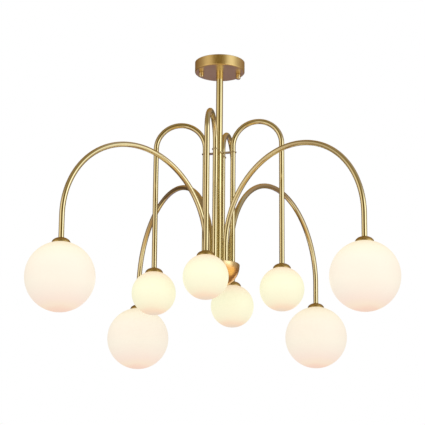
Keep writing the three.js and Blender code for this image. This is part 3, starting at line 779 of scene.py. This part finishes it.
def tent_cloth():
    """Cloth graded by the turn round the room, atan2(x, -y), in four tiers that melt into each other upwards."""
    material, tree, surface = new_material("studio_tent_cloth")
    place = add_node(tree, "ShaderNodeTexCoord").outputs["Object"]
    away = add_node(tree, "ShaderNodeVectorMath", {0: place, 1: room_centre.tolist()}, operation="SUBTRACT")
    facing = add_node(tree, "ShaderNodeVectorMath", {0: away.outputs[0]}, operation="NORMALIZE")
    axes = add_node(tree, "ShaderNodeSeparateXYZ", {0: facing.outputs[0]})
    front = add_node(tree, "ShaderNodeMath", {0: axes.outputs["Y"], 1: -1.0}, operation="MULTIPLY")
    turn = add_node(tree, "ShaderNodeMath", {0: axes.outputs["X"], 1: front.outputs[0]}, operation="ARCTAN2")
    share = add_node(tree, "ShaderNodeMapRange", {0: turn.outputs[0], 1: -math.pi, 2: math.pi})
    cloth = None
    for (start, full), tones in tent_tiers:
        ramp = add_node(tree, "ShaderNodeValToRGB", {0: share.outputs[0]})
        round_trip = tones + [(180, tones[0][1])]
        set_stops(ramp, [((degrees + 180) / 360, (*tone, 1)) for degrees, tone in round_trip])
        if cloth is None:
            cloth = ramp.outputs[0]
            continue
        rise = add_node(tree, "ShaderNodeMapRange", {0: axes.outputs["Z"], 1: start, 2: full},
                        interpolation_type="SMOOTHSTEP")
        cloth = add_node(tree, "ShaderNodeMix", {"Factor": rise.outputs[0], 6: cloth, 7: ramp.outputs[0]},
                         data_type="RGBA").outputs[2]
    glow = add_node(tree, "ShaderNodeEmission", {"Color": cloth, "Strength": 1.0})
    tree.links.new(glow.outputs[0], surface)
    material.cycles.emission_sampling = "NONE"
    return material


turn, tilt = np.meshgrid(np.linspace(-math.pi, math.pi, tent_columns),
                         np.linspace(-math.pi / 2, math.pi / 2, tent_rows))
tent_points = room_centre + tent_radius * np.stack(
    [np.sin(turn) * np.cos(tilt), -np.cos(turn) * np.cos(tilt), np.sin(tilt)], axis=-1)
index = np.arange(turn.size).reshape(turn.shape)
tent_quads = np.stack([index[:-1, :-1], index[1:, :-1], index[1:, 1:], index[:-1, 1:]], axis=-1)
tent = stage_surface("studio_tent", tent_points.reshape(-1, 3).tolist(), tent_quads.reshape(-1, 4).tolist(),
                     tent_cloth())
tent.visible_camera = tent.visible_diffuse = tent.visible_shadow = tent.visible_transmission = False


def soft_lamp(name, turn, tilt, size, power, distance=3.2):
    """A large softbox that faces the object from a turn and tilt in degrees."""
    light = bpy.data.lights.new(name, "AREA")
    light.shape, light.size, light.size_y, light.energy = "RECTANGLE", *size, power
    lamp = bpy.data.objects.new(name, light)
    turn, tilt = math.radians(turn), math.radians(tilt)
    away = np.array([math.sin(turn) * math.cos(tilt), -math.cos(turn) * math.cos(tilt), math.sin(tilt)])
    across = np.array([math.cos(turn), math.sin(turn), 0])
    pose = np.eye(4)
    pose[:3, :3] = np.column_stack([across, np.cross(away, across), away])
    pose[:3, 3] = room_centre + distance * away
    bpy.context.scene.collection.objects.link(lamp)
    lamp.matrix_world = Matrix(pose.tolist())
    lamp.visible_glossy = False


soft_lamp("softbox_front", turn=8, tilt=14, size=(1.2, 2.6), power=16)
soft_lamp("softbox_top_front", turn=-10, tilt=60, size=(2.4, 1.6), power=20)

world = bpy.data.worlds.new("studio_room")
bpy.context.scene.world = world
world.use_nodes = True
room = world.node_tree
room.nodes.clear()
room_light = add_node(room, "ShaderNodeBackground", {"Color": linear("#ffffff"), "Strength": 0.78})
room_white = add_node(room, "ShaderNodeBackground", {"Color": linear("#ffffff"), "Strength": 1.0})
room_mix = add_node(room, "ShaderNodeMixShader",
                    {0: seen_directly(room), 1: room_light.outputs[0], 2: room_white.outputs[0]})
add_node(room, "ShaderNodeOutputWorld", {"Surface": room_mix.outputs[0]})

# Camera. It stands 3.8 m in front of the rod and well below the globes, and looks up by 16 degrees.
# A long lens keeps the arms at the back nearly as large as those in front.

camera_data = bpy.data.cameras.new("camera")
camera = bpy.data.objects.new("camera", camera_data)
bpy.context.scene.collection.objects.link(camera)
bpy.context.scene.camera = camera
camera_data.sensor_width, camera_data.lens, camera_data.clip_end = 36.0, 145.92, 400.0
camera_place = (0.0, -3.7856, -1.4324)
rise, yaw, roll = (math.radians(angle) for angle in (15.763, -0.213, 0.514))
ahead = np.array([math.sin(yaw) * math.cos(rise), math.cos(yaw) * math.cos(rise), math.sin(rise)])
level = np.array([math.cos(yaw), -math.sin(yaw), 0.0])
upright = np.cross(level, ahead)
rightward = level * math.cos(roll) + upright * math.sin(roll)
upward = upright * math.cos(roll) - level * math.sin(roll)
stance = np.eye(4)
stance[:3, :3] = np.column_stack([rightward, upward, -ahead])
stance[:3, 3] = camera_place
camera.matrix_world = Matrix(stance.tolist())

bpy.context.scene.view_settings.view_transform = "Standard"
